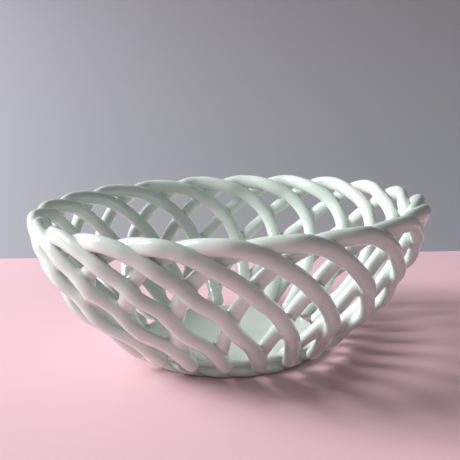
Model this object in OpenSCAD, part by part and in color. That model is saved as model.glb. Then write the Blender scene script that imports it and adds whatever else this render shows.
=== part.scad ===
// Openwork ceramic basket: clay strands bent into overlapping arches on a flat base
// Millimetres, +Z up, the table at z = 0, the basket's axis on Z

/* [Bowl] */
// Radius of the rim, to the middle of the wall
rim_r = 138.5; // [120:0.5:150]
// Radius of the circle on which the strands end at the base
base_r = 73.9; // [73:0.1:80]
// Height of the wall, from the strands' ends to the middle of the rim
wall_h = 98; // [80:0.5:110]
// Height of the strands' ends above the table
wall_z = 12; // [12:0.1:16]
// How full the belly is: 1 is a cone, 3 is nearly a cylinder
belly = 2.02; // [1.8:0.01:2.6]

/* [Lattice] */
// Number of clay strands, one arch each
strand_count = 21; // [19:1:23]
// Width of a strand along the wall
strand_w = 10.2; // [6:0.1:10.4]
// Thickness of a strand across the wall, and the distance between the two layers
strand_t = 7.8; // [6:0.1:8]
// How many strand spacings an arch's outside leg covers on its way down
outer_span = 3; // [2:1:3]
// How many strand spacings its inside leg covers
inner_span = 2; // [2:1:3]
// Shape of an arch's leg in the outside layer: 1 is straight, 4 drops late and steeply
outer_curve = 1.5; // [1.3:0.02:2]
// Shape of an arch's leg in the inside layer
inner_curve = 7.7; // [4:0.1:8]
// Share of the inside leg's drop that begins at the arch's top
crown = 0.63; // [0.1:0.01:0.8]
// Shape of that share: 1 is straight, 2 starts flat
crown_curve = 2.25; // [1.3:0.05:3]
// How softly the outside leg leaves the arch's top
bend = 0.16; // [0.02:0.01:0.3]
// How far past its middle an arch is highest, in degrees round the bowl
crest = 3; // [0:0.1:8]
// How far the outside layer sinks between two crossings
sag = 1.6; // [0:0.1:2]
// Direction of the first arch's top, from the front towards the right, in degrees
first_angle = -1; // [-8:0.1:8]

/* [Unevenness of the hand] */
// Width of the rim over its depth
oval = 1.038; // [1:0.001:1.04]
// Share by which the bowl is flattened on its left side
flat_left = 0.04; // [0:0.002:0.05]
// Share by which the bowl is flattened on its right side
flat_right = 0.02; // [0:0.002:0.05]
// Rise of the rim on the right, and fall on the left
rim_tilt = 2.1; // [0:0.1:5]
// Rise of the rim in front, and fall at the back
rim_lean = 1.3; // [0:0.1:5]
// Strands laid early or late, once round the bowl, in degrees
drift_once = 1.9; // [0:0.1:3]
// Strands laid early or late, twice round the bowl, in degrees
drift_twice = 1.9; // [0:0.1:2]

/* [Base] */
// Radius of the slab that closes the bottom
disc_r = 67; // [60:0.5:67]
// Height of the slab's underside above the table
disc_z = 6; // [5:0.1:7]
// Thickness of the slab
disc_t = 6.5; // [5:0.1:7]
// Radius of the foot, to the middle of its coil
foot_r = 65; // [60:0.5:65]
// Width of the foot's coil
foot_w = 11; // [9:0.1:12]
// Depth of the notches between the foot's lobes
foot_notch = 2; // [0.5:0.1:2.5]

/* [Hidden] */
glaze = [0.90, 0.93, 0.91];
pitch = 360 / strand_count;
outer_sweep = outer_span * pitch;
inner_sweep = inner_span * pitch;
// Steps along the two legs and round the section of a strand's mesh
outer_steps = 28;
inner_steps = 16;
sides = 8;
// Angles that round off a strand's end, from its section towards its tip
tip_angles = [35, 65];
// Span of height over which the wall's direction is measured
slope_step = 0.02;
// Share by which a strand is pressed thinner at the rim, and by which its layers part there
rim_press = 0.05;
rim_spread = 0.4;
// Steps along one lobe of the foot, and round its section
lobe_steps = 6;
foot_sides = 10;
// How much of the foot's coil is cut off flat, above and below
foot_cut = 0.6;
// How far one lobe leans over the next, and how blunt its ends are
lobe_lean = 0.25;
lobe_fullness = 0.6;
// Radius of the slab's rounded edge
edge_r = 2.5;
// Steps when a value is found by halving
halvings = 24;
// Turn at which a strand starts to change layers, and how long it takes, in degrees
change_start = -11.5;
change_span = 17;
// Overlap that makes two pieces of one outline join
overlap = 0.01;

function strand_name(i) = str("strand_", i < 10 ? "0" : "", i);

// The wall: its radius at height u, from 0 at the strands' ends to 1 at the rim
function wall_radius(u) = base_r + (rim_r - base_r) * (1 - pow(1 - u, belly));

// Direction out of the wall at height u, as [outward, up]
function wall_normal(u) =
    let (low = max(0, u - slope_step))
    let (high = min(1, u + slope_step))
    let (run = wall_radius(high) - wall_radius(low))
    let (rise = (high - low) * wall_h)
    [rise, -run] / norm([rise, run]);

// Point at an angle from the front, a height u and a distance out of the wall
function wall_point(angle, u, out) =
    let (n = wall_normal(u))
    let (r = wall_radius(u) + out * n[0])
    let (flat = sin(angle) < 0 ? flat_left : flat_right)
    let (x = oval * r * sin(angle) * (1 - flat * pow(sin(angle), 4)))
    let (y = -r * cos(angle))
    [x, y, wall_z + wall_h * u + out * n[1] + (rim_tilt * x - rim_lean * y) * u / rim_r];

// Turn round the bowl, from the arch's middle, of a leg at the share s of its way from the crest
function outer_turn(s) = crest + (outer_sweep - crest) * s;
function inner_turn(s) = crest - (inner_sweep + crest) * s;

// How far down the wall a leg is at the share s
function bent(s) = pow(s * s + bend * bend, outer_curve / 2) - pow(bend, outer_curve);
function outer_drop(s) = bent(s) / bent(1);
function inner_drop(s) = crown * pow(s, crown_curve) + (1 - crown) * pow(s, inner_curve);

// The share of its way that an inside leg has made when it is down by w, found by halving
function inner_share(w, low = 0, high = 1, n = halvings) =
    let (mid = (low + high) / 2)
    n == 0 ? mid : inner_drop(mid) > w ? inner_share(w, low, mid, n - 1) : inner_share(w, mid, high, n - 1);

// Crossings that an outside leg has made at the share s of its way
function crossings(s) = (outer_turn(s) - inner_turn(inner_share(outer_drop(s)))) / pitch;

function smooth(x) = let (t = min(1, max(0, x))) t * t * (3 - 2 * t);

// From -1 in the inside layer to 1 in the outside layer, changing over near the arch's top
function layer(turn) = 2 * smooth((turn - change_start) / change_span) - 1;

// How deep an outside leg sinks at the share s of its way
function sink(s) = let (m = crossings(s)) m < 1 ? 0 : sag * (1 - cos(360 * m)) / 2;

// 1 where a strand lies along its neighbours at the rim, fading to 0 down the wall
function at_rim(turn) = pow(smooth(1 - abs(turn - crest) / pitch), 0.5);

// Distance of the strand out of the wall, a little more at the rim
function layer_out(turn) = layer(turn) * strand_t / 2 * (1 + rim_spread * at_rim(turn));

// Where hand-laying has moved the strand that belongs at an angle
function drift(angle) = -drift_once * cos(angle) - drift_twice * sin(2 * angle + 45);

// An arch as [turn from its top, how far down it is, distance out of the wall]
inner_leg = [
    for (i = [inner_steps:-1:1])
        let (s = sin(90 * i / inner_steps))
        let (turn = inner_turn(s))
        [turn, inner_drop(s), layer_out(turn)]
];
outer_leg = [
    for (i = [0:outer_steps])
        let (s = i / outer_steps)
        let (turn = outer_turn(s))
        [turn, outer_drop(s), layer_out(turn) - sink(s)]
];
legs = concat(inner_leg, outer_leg);

function arch(angle) = [
    for (p = legs)
        wall_point(angle + drift(angle) + p[0], 1 - p[1], p[2])
];

function unit(v) = v / norm(v);

// Travel along a path at its point i
function heading(path, i) = unit(path[min(i + 1, len(path) - 1)] - path[max(i - 1, 0)]);

// One ring of an oval section: centre c, travel t, side and outward directions
function ring(c, side, out, size) = [
    for (j = [0:sides - 1])
        let (a = 360 * j / sides)
        c + size * (strand_w / 2 * sin(a) * side + strand_t / 2 * cos(a) * out)
];

// Outward direction of the bowl at a point of a strand
function outward(p) =
    let (u = min(1, max(0, (p[2] - wall_z) / wall_h)))
    let (n = wall_normal(u))
    let (flat = unit([p[0], p[1]]))
    [flat[0] * n[0], flat[1] * n[0], n[1]];

// The ring at point i, moved on by the tip angle e towards an end (way is -1, 0 or 1)
function strand_ring(path, i, e = 0, way = 0) =
    let (t = heading(path, i))
    let (side = unit(cross(outward(path[i]), t)))
    let (out = cross(t, side))
    let (size = cos(e) * (1 - rim_press * at_rim(legs[i][0])))
    ring(path[i] + way * strand_t / 2 * sin(e) * t, side, out, size);

function strand_rings(path) = concat(
    [for (i = [len(tip_angles) - 1:-1:0]) strand_ring(path, 0, tip_angles[i], -1)],
    [for (i = [0:len(path) - 1]) strand_ring(path, i)],
    [for (e = tip_angles) strand_ring(path, len(path) - 1, e, 1)]
);

// Closed mesh through a list of rings of n points each
module skin(rings, n) {
    last = len(rings) - 1;
    walls = [
        for (i = [0:last - 1], j = [0:n - 1], half = [0, 1])
            let (k = (j + 1) % n)
            half == 0 ? [i * n + j, (i + 1) * n + k, (i + 1) * n + j]
                : [i * n + j, i * n + k, (i + 1) * n + k]
    ];
    first_cap = [[for (j = [n - 1:-1:0]) j]];
    last_cap = [[for (j = [0:n - 1]) last * n + j]];
    polyhedron([for (r = rings) each r], concat(walls, first_cap, last_cap));
}

module strand(i) {
    angle = first_angle + (i - 1) * pitch;
    color(glaze)
        skin(strand_rings(arch(angle)), sides);
}

module base_disc() {
    color(glaze)
        rotate_extrude($fn = 180)
            union() {
                translate([0, disc_z])
                    square([disc_r - edge_r, disc_t]);
                translate([disc_r - edge_r - overlap, disc_z + edge_r])
                    square([edge_r + overlap, disc_t - 2 * edge_r]);
                for (z = [edge_r, disc_t - edge_r])
                    translate([disc_r - edge_r, disc_z + z])
                        circle(r = edge_r, $fn = 48);
            }
}

// Closed mesh round a loop of rings
module loop_skin(rings, n) {
    m = len(rings);
    polyhedron(
        [for (r = rings) each r],
        [
            for (i = [0:m - 1], j = [0:n - 1], half = [0, 1])
                let (k = (j + 1) % n)
                let (next = (i + 1) % m)
                half == 0 ? [i * n + j, next * n + k, next * n + j] : [i * n + j, i * n + k, next * n + k]
        ]
    );
}

// One section of the foot's coil: each lobe is fullest in its middle and leans over the next
function foot_section(i) =
    let (angle = 360 * i / (strand_count * lobe_steps) + first_angle)
    [
        for (j = [0:foot_sides - 1])
            let (a = 360 * (j + 0.5) / foot_sides)
            let (full = pow(abs(sin(180 * (i / lobe_steps + lobe_lean * sin(a)))), lobe_fullness))
            let (r = foot_r + (foot_w / 2 - foot_notch * (1 - full)) * cos(a))
            [r * sin(angle), -r * cos(angle), disc_z / 2 + (disc_z / 2 + foot_cut) * sin(a)]
    ];

module foot_ring() {
    color(glaze)
        intersection() {
            loop_skin([for (i = [0:strand_count * lobe_steps - 1]) foot_section(i)], foot_sides);
            cylinder(r = rim_r, h = disc_z, $fn = 60);
        }
}

for (i = [1:strand_count])
    strand(i);
base_disc();
foot_ring();
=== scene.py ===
"""Openwork ceramic basket: glazed clay strands bent into overlapping arches
on a flat base with a rope-like foot."""
import math

import bpy
import numpy as np
from mathutils import Matrix


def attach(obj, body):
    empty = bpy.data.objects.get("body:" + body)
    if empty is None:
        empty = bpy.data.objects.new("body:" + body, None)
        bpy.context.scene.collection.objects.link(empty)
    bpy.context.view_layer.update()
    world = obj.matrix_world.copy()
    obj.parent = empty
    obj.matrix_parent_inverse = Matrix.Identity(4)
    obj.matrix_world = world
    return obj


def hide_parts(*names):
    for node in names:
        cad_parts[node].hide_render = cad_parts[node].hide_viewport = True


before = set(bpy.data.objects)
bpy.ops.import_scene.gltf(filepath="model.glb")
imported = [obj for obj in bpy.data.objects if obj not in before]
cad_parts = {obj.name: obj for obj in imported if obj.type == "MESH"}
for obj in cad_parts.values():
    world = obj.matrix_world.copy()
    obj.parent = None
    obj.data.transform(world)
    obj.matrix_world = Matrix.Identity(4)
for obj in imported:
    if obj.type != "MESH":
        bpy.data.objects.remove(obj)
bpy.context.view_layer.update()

MM = 0.001

# The bowl, as the CAD source gives it, in metres
RIM_R = 138.5 * MM
BASE_R = 73.9 * MM
WALL_H = 98 * MM
WALL_Z = 12 * MM
BELLY = 2.02
COUNT = 21
PITCH = 360 / COUNT
OUTER_SWEEP = 3 * PITCH
INNER_SWEEP = 2 * PITCH
OUTER_CURVE = 1.5
INNER_CURVE = 7.7
CROWN = 0.63
CROWN_CURVE = 2.25
BEND = 0.16
CREST = 3
FIRST_ANGLE = -1
OVAL = 1.038
FLAT_LEFT = 0.04
FLAT_RIGHT = 0.02
RIM_TILT = 2.1 * MM
RIM_LEAN = 1.3 * MM
DRIFT_ONCE = 1.9
DRIFT_TWICE = 1.9
LAYER_GAP = 7.6 * MM
CHANGE_START = -11.5
CHANGE_SPAN = 17
RIM_SPREAD = 0.3
LEG_END = 0.975
SAG_HIGH = 0.6 * MM
SAG_LOW = 2.8 * MM

# The glazed strand: a little fuller than its CAD solid, so that crossings fuse
STRAND_W = 11.2 * MM
STRAND_T = 8.8 * MM
RIM_PRESS = -0.03
SIDES = 28
RING_STEP = 1.25 * MM
TIP_ANGLES = np.radians([0, 15, 30, 45, 60, 74, 85])

# How far glaze and clay fill the corner where two pieces meet
FILLET = 4.4 * MM
RIM_FILLET = 1.4 * MM
REACH = 6

rng = np.random.default_rng(21)


def smooth(x):
    t = np.clip(x, 0, 1)
    return t * t * (3 - 2 * t)


def unit(v):
    return v / np.maximum(np.linalg.norm(v, axis=-1, keepdims=True), 1e-12)


# ---------------------------------------------------------------- the wall
def wall_radius(u):
    return BASE_R + (RIM_R - BASE_R) * (1 - np.power(1 - u, BELLY))


def wall_normal(u):
    low, high = np.maximum(0, u - 0.02), np.minimum(1, u + 0.02)
    run = wall_radius(high) - wall_radius(low)
    rise = (high - low) * WALL_H
    length = np.hypot(run, rise)
    return rise / length, -run / length


def wall_point(angle, u, out):
    """Points at angles from the front (degrees), heights u from 0 to 1 and distances out of the wall."""
    n_out, n_up = wall_normal(u)
    a = np.radians(angle)
    r = wall_radius(u) + out * n_out
    flat = np.where(np.sin(a) < 0, FLAT_LEFT, FLAT_RIGHT)
    x = OVAL * r * np.sin(a) * (1 - flat * np.sin(a) ** 4)
    y = -r * np.cos(a)
    z = WALL_Z + WALL_H * u + out * n_up + (RIM_TILT * x - RIM_LEAN * y) * u / RIM_R
    return np.stack([x, y, z], -1)


def outward(p):
    """Direction out of the bowl at points near its wall."""
    n_out, n_up = wall_normal(np.clip((p[:, 2] - WALL_Z) / WALL_H, 0, 1))
    flat = unit(p[:, :2])
    return np.stack([flat[:, 0] * n_out, flat[:, 1] * n_out, n_up], -1)


# ---------------------------------------------------------------- one arch of clay
def outer_turn(s):
    return CREST + (OUTER_SWEEP - CREST) * s


def inner_turn(s):
    return CREST - (INNER_SWEEP + CREST) * s


def outer_drop(s):
    def bent(t):
        return np.power(t * t + BEND * BEND, OUTER_CURVE / 2) - BEND ** OUTER_CURVE
    return bent(s) / bent(1)


def inner_drop(s):
    return CROWN * np.power(s, CROWN_CURVE) + (1 - CROWN) * np.power(s, INNER_CURVE)


SHARES = np.linspace(0, 1, 2001)


def crossings(s):
    """Crossings that an outside leg has made at the share s of its way."""
    inner_share = np.interp(outer_drop(s), inner_drop(SHARES), SHARES)
    return (outer_turn(s) - inner_turn(inner_share)) / PITCH


def at_rim(turn):
    return np.sqrt(smooth(1 - np.abs(turn - CREST) / PITCH))


def layer_out(turn):
    """Distance out of the wall, from the inner layer to the outer near the arch's top."""
    layer = 2 * smooth((turn - CHANGE_START) / CHANGE_SPAN) - 1
    return layer * LAYER_GAP / 2 * (1 + RIM_SPREAD * at_rim(turn))


def sink(s):
    m = crossings(s)
    depth = SAG_HIGH + (SAG_LOW - SAG_HIGH) * smooth((m - 1.8) / 2)
    return np.where(m < 1, 0, depth * (1 - np.cos(2 * np.pi * m)) / 2)


def drift(angle):
    return -DRIFT_ONCE * math.cos(math.radians(angle)) - DRIFT_TWICE * math.sin(math.radians(2 * angle + 45))


def wave(x, count, low, high):
    """A smooth random curve, about 1 high: a few sines with frequencies from low to high
    over the length of x."""
    total = np.zeros_like(x)
    for f in np.linspace(low, high, count):
        total += rng.uniform(0.5, 1) * np.sin(2 * np.pi * (f * x + rng.uniform()))
    return total / math.sqrt(count)


class Strand:
    """The middle line of a strand, its frame and its two half widths, evenly spaced along it."""

    def __init__(self, index):
        self.index = index
        angle = FIRST_ANGLE + index * PITCH
        s_in = np.sin(np.linspace(np.pi / 2, 0, 160, endpoint=False))
        s_out = np.linspace(0, LEG_END, 260)
        turn = np.concatenate([inner_turn(s_in), outer_turn(s_out)])
        drop = np.concatenate([inner_drop(s_in), outer_drop(s_out)])
        out = layer_out(turn) - np.concatenate([0 * s_in, sink(s_out)])
        path = wall_point(angle + drift(angle) + turn, 1 - drop, out)
        along = np.concatenate([[0], np.cumsum(np.linalg.norm(np.diff(path, axis=0), axis=1))])
        count = int(along[-1] / RING_STEP)
        self.step = along[-1] / count
        even = np.linspace(0, along[-1], count + 1)
        path = np.stack([np.interp(even, along, path[:, k]) for k in range(3)], -1)
        self.turn = np.interp(even, along, turn)
        share = even / along[-1]
        # The unevenness of a strand rolled and laid by hand
        side = unit(np.cross(outward(path), self.headings(path)))
        calm = smooth(np.minimum(share, 1 - share) / 0.06)
        path = path + side * (0.30 * MM * calm * wave(share, 4, 1.5, 5))[:, None]
        path = path + outward(path) * (0.12 * MM * calm * wave(share, 3, 1.5, 4))[:, None]
        self.path = path
        self.ahead = self.headings(path)
        self.side = unit(np.cross(outward(path), self.ahead))
        self.out = np.cross(self.ahead, self.side)
        press = 1 - RIM_PRESS * at_rim(self.turn)
        self.half_w = STRAND_W / 2 * press * (1 + 0.016 * wave(share, 3, 1.2, 5))
        self.half_t = STRAND_T / 2 * press * (1 + 0.012 * wave(share, 3, 1.2, 5))

    @staticmethod
    def headings(path):
        padded = np.concatenate([path[:1], path, path[-1:]])
        return unit(padded[2:] - padded[:-2])

    def surface(self):
        """Rings of points on the strand with its rounded ends, and the outward direction at each point."""
        last = len(self.path) - 1
        rings = [(0, e, -1) for e in TIP_ANGLES[:0:-1]] + [(i, 0, 0) for i in range(last + 1)]
        rings += [(last, e, 1) for e in TIP_ANGLES[1:]]
        index = np.array([r[0] for r in rings])
        e = np.array([r[1] for r in rings])[:, None, None]
        way = np.array([r[2] for r in rings])[:, None, None]
        phi = np.linspace(0, 2 * np.pi, SIDES, endpoint=False)[None, :, None]
        side, out, ahead = (v[index][:, None, :] for v in (self.side, self.out, self.ahead))
        a, b = self.half_w[index][:, None, None], self.half_t[index][:, None, None]
        points = self.path[index][:, None, :] + np.cos(e) * (a * np.sin(phi) * side + b * np.cos(phi) * out)
        points = points + way * b * np.sin(e) * ahead
        normals = np.cos(e) * (np.sin(phi) / a * side + np.cos(phi) / b * out) + way * np.sin(e) / b * ahead
        return points, unit(normals)

    def near(self, points):
        """For each point, the nearest place on the middle line."""
        line = self.path.astype(np.float32)
        score = (line ** 2).sum(1)[None] - 2 * points.astype(np.float32) @ line.T
        return np.argmin(score, axis=1)

    def distance(self, points, nearest):
        """Distance of points from the strand's skin, less than zero inside it, and the direction out of it."""
        last = len(self.path) - 1
        offset = points - self.path[nearest]
        along = (offset * self.ahead[nearest]).sum(1)
        place = np.clip(nearest + along / self.step, 0, last)
        low = np.minimum(place.astype(int), last - 1)
        share = (place - low)[:, None]

        def between(values):
            return values[low] * (1 - share) + values[low + 1] * share

        offset = points - between(self.path)
        size = np.concatenate([between(v[:, None]) for v in (self.half_w, self.half_t, self.half_t)], 1)
        axes = [between(v) for v in (self.side, self.out, self.ahead)]
        local = np.stack([(offset * axis).sum(1) for axis in axes], -1)
        steep = local / size ** 2
        ratio = np.linalg.norm(local / size, axis=1)
        length = np.maximum(np.linalg.norm(steep, axis=1), 1e-9)
        way = sum(axis * steep[:, k : k + 1] for k, axis in enumerate(axes)) / length[:, None]
        return ratio * (ratio - 1) / length, way


# ---------------------------------------------------------------- the base and the foot
DISC_R = 67.6 * MM
DISC_LOW = 6 * MM
DISC_HIGH = 12.5 * MM
DISC_EDGE = 2.5 * MM
FOOT_R = 65 * MM
FOOT_W = 11.6 * MM
FOOT_NOTCH = 2.8 * MM
FOOT_HALF_H = 3.6 * MM
FOOT_LEAN = 0.25


def with_direction(distance):
    """The same distance, and the direction in which it grows."""
    def measured(p):
        step = 0.1 * MM
        slope = [distance(p + step * axis) - distance(p - step * axis) for axis in np.eye(3)]
        return distance(p), unit(np.stack(slope, -1))
    return measured


@with_direction
def disc_distance(p):
    r = np.hypot(p[:, 0], p[:, 1]) - (DISC_R - DISC_EDGE)
    z = np.abs(p[:, 2] - (DISC_LOW + DISC_HIGH) / 2) - ((DISC_HIGH - DISC_LOW) / 2 - DISC_EDGE)
    return np.hypot(np.maximum(r, 0), np.maximum(z, 0)) + np.minimum(np.maximum(r, z), 0) - DISC_EDGE


def foot_fullness(angle, height):
    """1 in the middle of a lobe of the foot's rope and 0 between two, at a height from -1 to 1."""
    lobe = (angle - FIRST_ANGLE) / PITCH + FOOT_LEAN * height
    return np.power(np.abs(np.sin(np.pi * lobe)), 0.6)


@with_direction
def foot_distance(p):
    r = np.hypot(p[:, 0], p[:, 1]) - FOOT_R
    z = p[:, 2] - DISC_LOW / 2
    angle = np.degrees(np.arctan2(p[:, 0], -p[:, 1]))
    a = FOOT_W / 2 - FOOT_NOTCH * (1 - foot_fullness(angle, np.clip(z / FOOT_HALF_H, -1, 1)))
    k0 = np.sqrt((r / a) ** 2 + (z / FOOT_HALF_H) ** 2)
    k1 = np.sqrt((r / a ** 2) ** 2 + (z / FOOT_HALF_H ** 2) ** 2)
    return k0 * (k0 - 1) / np.maximum(k1, 1e-9)


# ---------------------------------------------------------------- joining the pieces
def corner_fill(gap, size):
    """How far a skin stands proud where another piece's skin is a gap away, so that the two
    meet in a corner of that size."""
    g = np.clip(gap, 0, size)
    return np.where(g < size / 4, size / 2 - g, (np.sqrt(size) - np.sqrt(g)) ** 2)


def fuse(points, normals, gaps):
    """Moves a skin out to meet its neighbours in soft corners, less where the two skins run the same way.
    gaps are (which points, function of those points) pairs. Returns the points and how full each corner is."""
    limit = RIM_FILLET + (FILLET - RIM_FILLET) * smooth((WALL_Z + WALL_H - 5 * MM - points[:, 2]) / (20 * MM))
    fill = np.zeros(len(points))
    for _ in range(7):
        wanted = np.zeros(len(points))
        moved = points + normals * fill[:, None]
        for near, measure in gaps:
            gap, way = measure(moved[near])
            size = limit[near] * np.clip(1 - (normals[near] * way).sum(1), 0, 1)
            wanted[near] = np.maximum(wanted[near], corner_fill(gap, size))
        fill = 0.5 * fill + 0.5 * wanted
    return points + normals * fill[:, None], fill


def lumps(points, size, count, seed):
    """Smooth random values at points, about 1 high, with features of about that size."""
    draw = np.random.default_rng(seed)
    total = np.zeros(len(points))
    for _ in range(count):
        way = unit(draw.normal(size=3)) * 2 * np.pi / (size * draw.uniform(0.7, 1.4))
        total += np.sin(points @ way + draw.uniform(0, 2 * np.pi))
    return total / math.sqrt(count / 2)


def grid_faces(rows, columns, start=0, wrap_rows=False):
    """Quads over a grid of points whose columns close on themselves."""
    count = rows if wrap_rows else rows - 1
    i, j = np.meshgrid(np.arange(count), np.arange(columns), indexing="ij")
    k, n = (j + 1) % columns, (i + 1) % rows
    quads = np.stack([i * columns + j, i * columns + k, n * columns + k, n * columns + j], -1)
    return (quads.reshape(-1, 4) + start).tolist()


def add_piece(name, points, faces, node, material, attributes):
    mesh = bpy.data.meshes.new(name)
    mesh.from_pydata(points.tolist(), [], faces)
    mesh.validate()
    mesh.update()
    mesh.polygons.foreach_set("use_smooth", [True] * len(mesh.polygons))
    for key, values in attributes.items():
        layer = mesh.attributes.new(key, "FLOAT", "POINT")
        layer.data.foreach_set("value", np.asarray(values, np.float32))
    mesh.materials.append(material)
    piece = bpy.data.objects.new(name, mesh)
    bpy.context.scene.collection.objects.link(piece)
    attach(piece, "root")
    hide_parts(node)
    return piece


# ---------------------------------------------------------------- the glaze
def glaze_material():
    """Pale celadon glaze over white clay: greener where it pools, thinner and whiter on the crests, with fine
    pinholes.
    In the foot's creases the darkening is partly pooled glaze and partly painted shade."""
    material = bpy.data.materials.new("celadon_glaze")
    material.use_nodes = True
    tree = material.node_tree
    tree.nodes.clear()

    def add(kind, **settings):
        made = tree.nodes.new(kind)
        for key, value in settings.items():
            setattr(made, key, value)
        return made

    def noise(scale, detail, roughness=0.5):
        made = add("ShaderNodeTexNoise")
        tree.links.new(place.outputs["Object"], made.inputs["Vector"])
        made.inputs["Scale"].default_value = scale
        made.inputs["Detail"].default_value = detail
        made.inputs["Roughness"].default_value = roughness
        return made.outputs["Fac"]

    def span(value, from_low, from_high, to_low, to_high):
        made = add("ShaderNodeMapRange", clamp=True)
        tree.links.new(value, made.inputs["Value"])
        for key, number in (("From Min", from_low), ("From Max", from_high),
                            ("To Min", to_low), ("To Max", to_high)):
            made.inputs[key].default_value = number
        return made.outputs["Result"]

    def math_node(operation, first, second):
        made = add("ShaderNodeMath", operation=operation)
        for socket, value in zip(made.inputs, (first, second)):
            if isinstance(value, (int, float)):
                socket.default_value = value
            else:
                tree.links.new(value, socket)
        return made.outputs[0]

    def blend(factor, first, second):
        made = add("ShaderNodeMix", data_type="RGBA")
        tree.links.new(factor, made.inputs["Factor"])
        for socket, value in ((made.inputs["A"], first), (made.inputs["B"], second)):
            if isinstance(value, tuple):
                socket.default_value = (*value, 1)
            else:
                tree.links.new(value, socket)
        return made.outputs["Result"]

    place = add("ShaderNodeTexCoord")
    glaze_pool_and_shade = add("ShaderNodeAttribute", attribute_name="glaze_pool_and_shade").outputs["Fac"]
    bare = add("ShaderNodeAttribute", attribute_name="bare").outputs["Fac"]
    crest = span(add("ShaderNodeNewGeometry").outputs["Pointiness"], 0.48, 0.56, 0, 1)

    cloud = span(noise(16, 3), 0.35, 0.65, 0, 1)
    mottle = span(noise(210, 4, 0.6), 0.35, 0.7, 0, 1)
    colour = blend(cloud, (0.73, 0.825, 0.775), (0.765, 0.845, 0.80))
    colour = blend(math_node("MULTIPLY", mottle, 0.18), colour, (0.66, 0.76, 0.70))
    colour = blend(math_node("MULTIPLY", crest, 0.35), colour, (0.83, 0.865, 0.835))
    # Greener and darker where the glaze pools; in the foot's creases this darkening is also painted shade
    colour = blend(math_node("MULTIPLY", glaze_pool_and_shade, 0.9), colour, (0.50, 0.62, 0.56))
    # Pinholes: the darkest few of many small cells
    cells = add("ShaderNodeTexVoronoi")
    tree.links.new(place.outputs["Object"], cells.inputs["Vector"])
    cells.inputs["Scale"].default_value = 330
    cells.inputs["Randomness"].default_value = 1
    dot = span(cells.outputs["Distance"], 0.06, 0.14, 1, 0)
    sparse = span(noise(60, 1), 0.6, 0.66, 0, 1)
    pinhole = math_node("MULTIPLY", dot, sparse)
    colour = blend(math_node("MULTIPLY", pinhole, 0.35), colour, (0.50, 0.47, 0.40))
    colour = blend(bare, colour, (0.74, 0.70, 0.64))

    shine = add("ShaderNodeBsdfPrincipled")
    output = add("ShaderNodeOutputMaterial")
    tree.links.new(shine.outputs[0], output.inputs["Surface"])
    tree.links.new(colour, shine.inputs["Base Color"])
    rough = span(noise(90, 3), 0.3, 0.7, 0.13, 0.22)
    rough = math_node("ADD", rough, math_node("MULTIPLY", bare, 0.6))
    tree.links.new(rough, shine.inputs["Roughness"])
    shine.inputs["IOR"].default_value = 1.5
    shine.inputs["Coat Weight"].default_value = 0.5
    shine.inputs["Coat Roughness"].default_value = 0.06
    shine.inputs["Subsurface Weight"].default_value = 0.12
    shine.inputs["Subsurface Radius"].default_value = (1.0, 1.0, 0.9)
    shine.inputs["Subsurface Scale"].default_value = 0.003

    height = math_node("ADD", span(noise(45, 2), 0, 1, 0, 1), math_node("MULTIPLY", noise(420, 2), 0.12))
    height = math_node("SUBTRACT", height, math_node("MULTIPLY", pinhole, 0.3))
    bump = add("ShaderNodeBump")
    bump.inputs["Strength"].default_value = 0.25
    bump.inputs["Distance"].default_value = 0.0006
    tree.links.new(height, bump.inputs["Height"])
    tree.links.new(bump.outputs["Normal"], shine.inputs["Normal"])
    return material


GLAZE = glaze_material()

# ---------------------------------------------------------------- strands
strands = [Strand(i) for i in range(COUNT)]


def strand_gaps(points, skip=None, reach=REACH):
    """The strands that come near the points, as (which points, function of those points) pairs."""
    pairs = []
    for other in strands:
        if skip is not None:
            apart = abs((other.index - skip + COUNT // 2) % COUNT - COUNT // 2)
            if apart == 0 or apart > reach:
                continue
        nearest = other.near(points)
        offset = np.linalg.norm(points - other.path[nearest], axis=1)
        near = np.where(offset < STRAND_W / 2 + FILLET + 2 * MM)[0]
        if len(near):
            pairs.append((near, lambda p, o=other, n=nearest[near]: o.distance(p, n)))
    return pairs


for strand in strands:
    rings, directions = strand.surface()
    rows, columns = rings.shape[:2]
    skin, normal = rings.reshape(-1, 3), directions.reshape(-1, 3)
    gaps = strand_gaps(skin, skip=strand.index)
    low_part = np.where(skin[:, 2] < WALL_Z + 14 * MM)[0]
    gaps += [(low_part, disc_distance), (low_part, foot_distance)]
    skin, fill = fuse(skin, normal, gaps)
    skin = skin + normal * (0.07 * MM * lumps(skin, 18 * MM, 14, 7))[:, None]
    tips = np.stack([skin[:columns].mean(0), skin[-columns:].mean(0)])
    faces = grid_faces(rows, columns)
    end = rows * columns
    faces += [[end, (j + 1) % columns, j] for j in range(columns)]
    faces += [[end + 1, end - columns + j, end - columns + (j + 1) % columns] for j in range(columns)]
    glaze_pool_and_shade = smooth(fill / (0.30 * FILLET))
    name = "strand_%02d" % (strand.index + 1)
    add_piece(
        name + "_glazed", np.concatenate([skin, tips]), faces, name, GLAZE,
        {"glaze_pool_and_shade": np.concatenate([glaze_pool_and_shade, [1, 1]]), "bare": np.zeros(end + 2)},
    )

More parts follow.
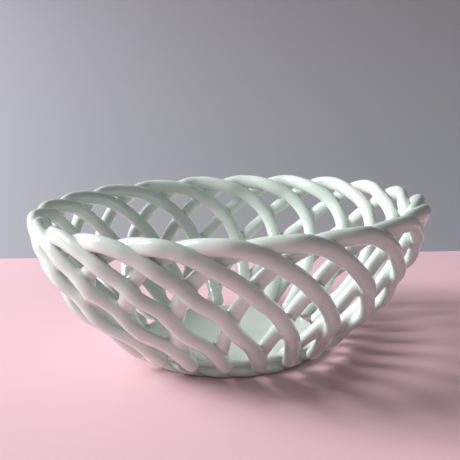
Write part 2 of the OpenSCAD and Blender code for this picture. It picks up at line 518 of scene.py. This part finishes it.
# ---------------------------------------------------------------- base disc
RADIAL = 420
edge = np.radians(np.linspace(0, 180, 19))
straight = np.concatenate([np.linspace(1.5, 52, 26), np.linspace(53.2, 64.6, 12)]) * MM
profile = [(r, DISC_HIGH) for r in straight]
profile += [
    (DISC_R - DISC_EDGE + DISC_EDGE * math.sin(a),
     (DISC_HIGH - DISC_EDGE + DISC_EDGE * math.cos(a)) if a <= math.pi / 2
      else (DISC_LOW + DISC_EDGE + DISC_EDGE * math.cos(a)))
    for a in edge
]
profile += [(r, DISC_LOW) for r in straight[::-1]]
profile = np.array(profile)
tangent = unit(np.gradient(profile, axis=0))
profile_out = np.stack([-tangent[:, 1], tangent[:, 0]], -1)
around = np.linspace(0, 2 * np.pi, RADIAL, endpoint=False)
r, z = profile[:, 0][:, None], profile[:, 1][:, None]
skin = np.stack([r * np.sin(around), -r * np.cos(around), z + 0 * around], -1).reshape(-1, 3)
n_r, n_z = profile_out[:, 0][:, None], profile_out[:, 1][:, None]
normal = np.stack([n_r * np.sin(around), -n_r * np.cos(around), n_z + 0 * around], -1).reshape(-1, 3)
skin, fill = fuse(skin, normal, strand_gaps(skin))
radius = np.hypot(skin[:, 0], skin[:, 1])
top = skin[:, 2] > (DISC_LOW + DISC_HIGH) / 2
# A slightly dished floor with soft marks where the strands' ends were pressed on
degrees = np.degrees(np.arctan2(skin[:, 0], -skin[:, 1]))
marks = 0.22 * MM * np.cos(np.radians((degrees - FIRST_ANGLE) * COUNT)) * smooth((radius - 50 * MM) / (10 * MM))
dish = -0.5 * MM * (1 - smooth(radius / (62 * MM))) + 0.12 * MM * lumps(skin, 30 * MM, 12, 11)
skin[:, 2] += np.where(top, marks + dish, 0.08 * MM * lumps(skin, 25 * MM, 12, 12))
rows = len(profile)
faces = grid_faces(rows, RADIAL)
end = rows * RADIAL
faces += [[end, j, (j + 1) % RADIAL] for j in range(RADIAL)]
faces += [[end + 1, end - RADIAL + (j + 1) % RADIAL, end - RADIAL + j] for j in range(RADIAL)]
middle = np.stack([skin[:RADIAL].mean(0), skin[-RADIAL:].mean(0)])
add_piece(
    "base_disc_glazed", np.concatenate([skin, middle]), [f[::-1] for f in faces], "base_disc", GLAZE,
    {"glaze_pool_and_shade": np.concatenate([smooth(fill / (0.30 * FILLET)), [0, 0]]), "bare": np.zeros(end + 2)},
)

# ---------------------------------------------------------------- foot ring
LOBE_STEPS = 22
FOOT_SIDES = 36
steps = np.arange(COUNT * LOBE_STEPS)
foot_angle = FIRST_ANGLE + steps * PITCH / LOBE_STEPS
phi = np.radians(np.linspace(0, 360, FOOT_SIDES, endpoint=False))
ANGLE, PHI = np.meshgrid(foot_angle, phi, indexing="ij")
full = foot_fullness(ANGLE, np.sin(PHI))
half = FOOT_W / 2 - FOOT_NOTCH * (1 - full)
r = FOOT_R + half * np.cos(PHI)
z = DISC_LOW / 2 + FOOT_HALF_H * np.sin(PHI)
a = np.radians(ANGLE)
skin = np.stack([r * np.sin(a), -r * np.cos(a), z], -1).reshape(-1, 3)
n_r, n_z = np.cos(PHI) / half, np.sin(PHI) / FOOT_HALF_H
normal = unit(np.stack([n_r * np.sin(a), -n_r * np.cos(a), n_z], -1).reshape(-1, 3))
everywhere = np.arange(len(skin))
skin, fill = fuse(skin, normal, strand_gaps(skin) + [(everywhere, disc_distance)])
skin = skin + normal * (0.08 * MM * lumps(skin, 12 * MM, 14, 9))[:, None]
# The foot is wiped flat and bare where it stands
skin[:, 2] = np.maximum(skin[:, 2], 0)
bare = smooth((0.45 * MM - skin[:, 2]) / (0.3 * MM))
# Between the foot's lobes the glaze is darkened: partly glaze pooling in the creases, partly painted shade in
# them
add_piece(
    "foot_ring_glazed", skin, grid_faces(len(steps), FOOT_SIDES, wrap_rows=True), "foot_ring", GLAZE,
    {"glaze_pool_and_shade": np.maximum(smooth(fill / (0.30 * FILLET)), 1 - full.reshape(-1)), "bare": bare},
)


# ---------------------------------------------------------------- table, wall, light and camera
def plain_material(name, low, high, roughness, scale, painted_light_fade=None):
    """A nearly plain colour, with optional painted light and shade by height: how bright it is at two heights,
    as (low z, brightness, high z, brightness)."""
    material = bpy.data.materials.new(name)
    material.use_nodes = True
    tree = material.node_tree
    shine = tree.nodes["Principled BSDF"]
    shine.inputs["Roughness"].default_value = roughness
    cloud = tree.nodes.new("ShaderNodeTexNoise")
    cloud.inputs["Scale"].default_value = scale
    mix = tree.nodes.new("ShaderNodeMix")
    mix.data_type = "RGBA"
    mix.inputs["A"].default_value = (*low, 1)
    mix.inputs["B"].default_value = (*high, 1)
    place = tree.nodes.new("ShaderNodeTexCoord")
    tree.links.new(place.outputs["Object"], cloud.inputs["Vector"])
    tree.links.new(cloud.outputs["Fac"], mix.inputs["Factor"])
    tree.links.new(mix.outputs["Result"], shine.inputs["Base Color"])
    # Painted light and shade: the colour is scaled by height, standing in for the light's falloff
    if painted_light_fade:
        split = tree.nodes.new("ShaderNodeSeparateXYZ")
        painted_brightness = tree.nodes.new("ShaderNodeMapRange")
        scaled = tree.nodes.new("ShaderNodeVectorMath")
        scaled.operation = "SCALE"
        tree.links.new(place.outputs["Object"], split.inputs[0])
        tree.links.new(split.outputs["Z"], painted_brightness.inputs["Value"])
        for key, number in zip(("From Min", "To Min", "From Max", "To Max"), painted_light_fade):
            painted_brightness.inputs[key].default_value = number
        tree.links.new(mix.outputs["Result"], scaled.inputs[0])
        tree.links.new(painted_brightness.outputs["Result"], scaled.inputs["Scale"])
        tree.links.new(scaled.outputs[0], shine.inputs["Base Color"])
    return material


def sheet(name, corners, material):
    mesh = bpy.data.meshes.new(name)
    mesh.from_pydata(corners, [], [(0, 1, 2, 3)])
    mesh.materials.append(material)
    made = bpy.data.objects.new(name, mesh)
    bpy.context.scene.collection.objects.link(made)
    return made


TABLE_BACK = 0.305
WALL_Y = 1.1
pink = plain_material("pale_table", (0.83, 0.54, 0.61), (0.845, 0.555, 0.625), 0.5, 3)
# The wall is painted brighter low down and darker towards the top, a painted falloff of the window's light
grey = plain_material("pale_wall", (0.71, 0.71, 0.78), (0.725, 0.725, 0.795), 0.9, 2,
                      painted_light_fade=(-0.2, 1.15, 0.34, 0.62))
sheet("table", [(-3, -2.5, 0), (3, -2.5, 0), (3, TABLE_BACK, 0), (-3, TABLE_BACK, 0)], pink)
sheet("wall", [(-4, WALL_Y, -1.5), (4, WALL_Y, -1.5), (4, WALL_Y, 3), (-4, WALL_Y, 3)], grey)


def area_light(name, place, target, size, energy, colour):
    data = bpy.data.lights.new(name, "AREA")
    data.shape = "RECTANGLE"
    data.size, data.size_y = size
    data.energy = energy
    data.color = colour
    made = bpy.data.objects.new(name, data)
    bpy.context.scene.collection.objects.link(made)
    back = unit(np.array(place) - np.array(target))
    right = unit(np.cross((0, 0, 1), back))
    up = np.cross(back, right)
    made.matrix_world = Matrix([[*row, p] for row, p in zip(np.stack([right, up, back], 1).tolist(), place)]
                               + [[0, 0, 0, 1]])
    return made


area_light("window", (-4.6, 0.30, 3.2), (0, 0, 0.04), (2.6, 2.2), 445, (0.99, 1.0, 0.98))
area_light("wall_wash", (-1.1, 0.55, 0.5), (-0.2, 1.1, 0.3), (0.7, 0.7), 8, (0.97, 0.975, 1.0))
area_light("fill", (-0.4, -1.6, 1.3), (0, 0, 0.05), (1.6, 1.2), 0.5, (0.95, 0.97, 1.0))

world = bpy.data.worlds.new("room")
bpy.context.scene.world = world
world.use_nodes = True
world.node_tree.nodes["Background"].inputs["Color"].default_value = (0.86, 0.90, 0.87, 1)
world.node_tree.nodes["Background"].inputs["Strength"].default_value = 0.13
bpy.context.scene.view_settings.view_transform = "Standard"

CAMERA_PLACE = (0, -0.6209, 0.2208)
CAMERA_DOWN = 0.2042
CAMERA_TURN = 0.0034
CAMERA_ROLL = -0.016
CAMERA_LENS = 65.1

sight = np.array([math.sin(CAMERA_TURN), math.cos(CAMERA_TURN), 0])
right = np.array([math.cos(CAMERA_TURN), -math.sin(CAMERA_TURN), 0])
ahead = math.cos(CAMERA_DOWN) * sight - math.sin(CAMERA_DOWN) * np.array([0, 0, 1])
up = math.sin(CAMERA_DOWN) * sight + math.cos(CAMERA_DOWN) * np.array([0, 0, 1])
rolled_right = math.cos(CAMERA_ROLL) * right + math.sin(CAMERA_ROLL) * up
rolled_up = math.cos(CAMERA_ROLL) * up - math.sin(CAMERA_ROLL) * right
camera_data = bpy.data.cameras.new("camera")
camera_data.lens = CAMERA_LENS
camera_data.sensor_width = 36
camera = bpy.data.objects.new("camera", camera_data)
bpy.context.scene.collection.objects.link(camera)
axes = np.stack([rolled_right, rolled_up, -ahead], 1).tolist()
camera.matrix_world = Matrix([[*row, p] for row, p in zip(axes, CAMERA_PLACE)] + [[0, 0, 0, 1]])
bpy.context.scene.camera = camera

bpy.context.view_layer.update()
